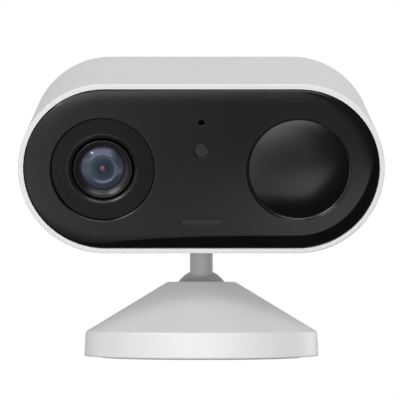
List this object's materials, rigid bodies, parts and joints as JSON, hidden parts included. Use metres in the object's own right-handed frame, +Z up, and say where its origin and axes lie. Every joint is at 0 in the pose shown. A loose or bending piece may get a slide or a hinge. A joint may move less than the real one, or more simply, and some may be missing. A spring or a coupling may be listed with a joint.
{
  "type": "security camera",
  "caption": "Wide round-ended white camera with a black face, a lens with a light ring, a motion sensor dome, on a ball-joint stand with a cone foot.",
  "frame": {"origin": "middle of the stand's round foot, on the surface it stands on", "axes": "+Z up, the camera looks along -Y and leans forward, +X along the head's length"},
  "size_m": [0.108, 0.0796, 0.0948],
  "materials": {
    "white_shell": "fine satin moulded white",
    "grey_plastic": "satin light grey",
    "white_rubber": "soft matt silicone, near white",
    "grey_rubber": "soft matt silicone, mid grey",
    "black_plastic": "fine grained black",
    "barrel_black": "anodised satin black",
    "face_gloss": "polished deep black",
    "smoked_ring": "smoked, with fine concentric ridges",
    "dome_gloss": "semi-gloss dark polyethylene",
    "trim_metal": "fine turned edge",
    "lens_glass": "coated, blue and violet reflections",
    "seal_rubber": "soft black silicone",
    "pad_rubber": "matt non-slip rubber",
    "sensor_die": "dark polished die",
    "tin_plate": "tin-plated sheet",
    "antenna_foil": "copper strip on film",
    "circuit_board": "green solder mask",
    "white_led": "yellow phosphor under clear resin",
    "infrared_led": "dark clear resin",
    "light_guide": "clear acrylic",
    "bar_guide": "smoked acrylic",
    "cell_wrap": "blue shrink wrap",
    "speaker_cone": "black cone and frame",
    "screw_steel": "plated steel",
    "insert_brass": "knurled brass",
    "nylon": "natural nylon",
    "spring_steel": "spring steel",
    "zinc_plate": "zinc-plated steel"
  },
  "bodies": {
    "base": {"base_shell": "white_shell", "base_plate": "black_plastic", "base_weight": "zinc_plate", "foot_pad": "pad_rubber", "ball_seat": "nylon", "spring_washer": "spring_steel", "clamp_plate": "zinc_plate", "clamp_screws": "screw_steel"},
    "socket": {"socket_liner": "nylon"},
    "ball": {"ball_stem": "grey_plastic", "stem_collar": "grey_plastic"},
    "head": {"housing_shell": "white_shell", "front_frame": "black_plastic", "face_gasket": "seal_rubber", "face_panel": "face_gloss", "light_ring_window": "smoked_ring", "lens_bezel": "black_plastic", "lens_barrel": "barrel_black", "lens_retainer": "trim_metal", "lens_front_glass": "lens_glass", "lens_stop": "black_plastic", "lens_middle_glass": "lens_glass", "lens_rear_glass": "lens_glass", "lens_holder": "black_plastic", "image_sensor": "sensor_die", "sensor_board": "circuit_board", "led_board": "circuit_board", "white_leds": "white_led", "infrared_leds": "infrared_led", "motion_dome": "dome_gloss", "motion_ring": "trim_metal", "motion_sensor": "tin_plate", "motion_board": "circuit_board", "front_board": "circuit_board", "microphone": "tin_plate", "mic_gasket": "seal_rubber", "light_pipe": "light_guide", "light_sensor": "sensor_die", "indicator_bar": "bar_guide", "indicator_leds": "white_led", "battery_cells": "cell_wrap", "cell_links": "tin_plate", "battery_cradle": "black_plastic", "main_board": "circuit_board", "chip_shield": "tin_plate", "antenna": "antenna_foil", "speaker": "speaker_cone", "speaker_gasket": "seal_rubber", "power_switch": "black_plastic", "button_board": "circuit_board", "port_board": "circuit_board", "usb_port": "tin_plate", "card_slot": "tin_plate", "reset_switch": "black_plastic", "frame_screws": "screw_steel", "board_screws": "screw_steel", "tripod_insert": "insert_brass"},
    "power_button": {"power_button": "grey_rubber"},
    "reset_button": {"reset_button": "black_plastic"},
    "port_cover": {"port_cover": "white_rubber"}
  },
  "joints": [
    {"name": "pan", "type": "hinge", "parent": "base", "child": "socket", "pos_m": [0, 0, 0.0187], "axis": [0, 0, 1], "continuous": true},
    {"name": "tilt", "type": "hinge", "parent": "socket", "child": "ball", "pos_m": [0, 0, 0.0187], "axis": [1, 0, 0], "range_deg": [-47.5, 14.5]},
    {"name": "swivel", "type": "hinge", "parent": "ball", "child": "head", "pos_m": [0, 0, 0.0187], "axis": [0, -0.284, 0.9588], "continuous": true},
    {"name": "power_press", "type": "slide", "parent": "head", "child": "power_button", "axis": [0, -0.9588, -0.284], "range_m": [0, 0.0005], "stiffness_N_per_m": 1500, "springref_m": -0.0005},
    {"name": "reset_press", "type": "slide", "parent": "head", "child": "reset_button", "axis": [0, -0.9588, -0.284], "range_m": [0, 0.0004], "stiffness_N_per_m": 1500, "springref_m": -0.0004},
    {"name": "cover_swing", "type": "hinge", "parent": "head", "child": "port_cover", "pos_m": [-0.0135, 0.02068, 0.0545], "axis": [0, -0.284, 0.9588], "range_deg": [0, 110]}
  ]
}
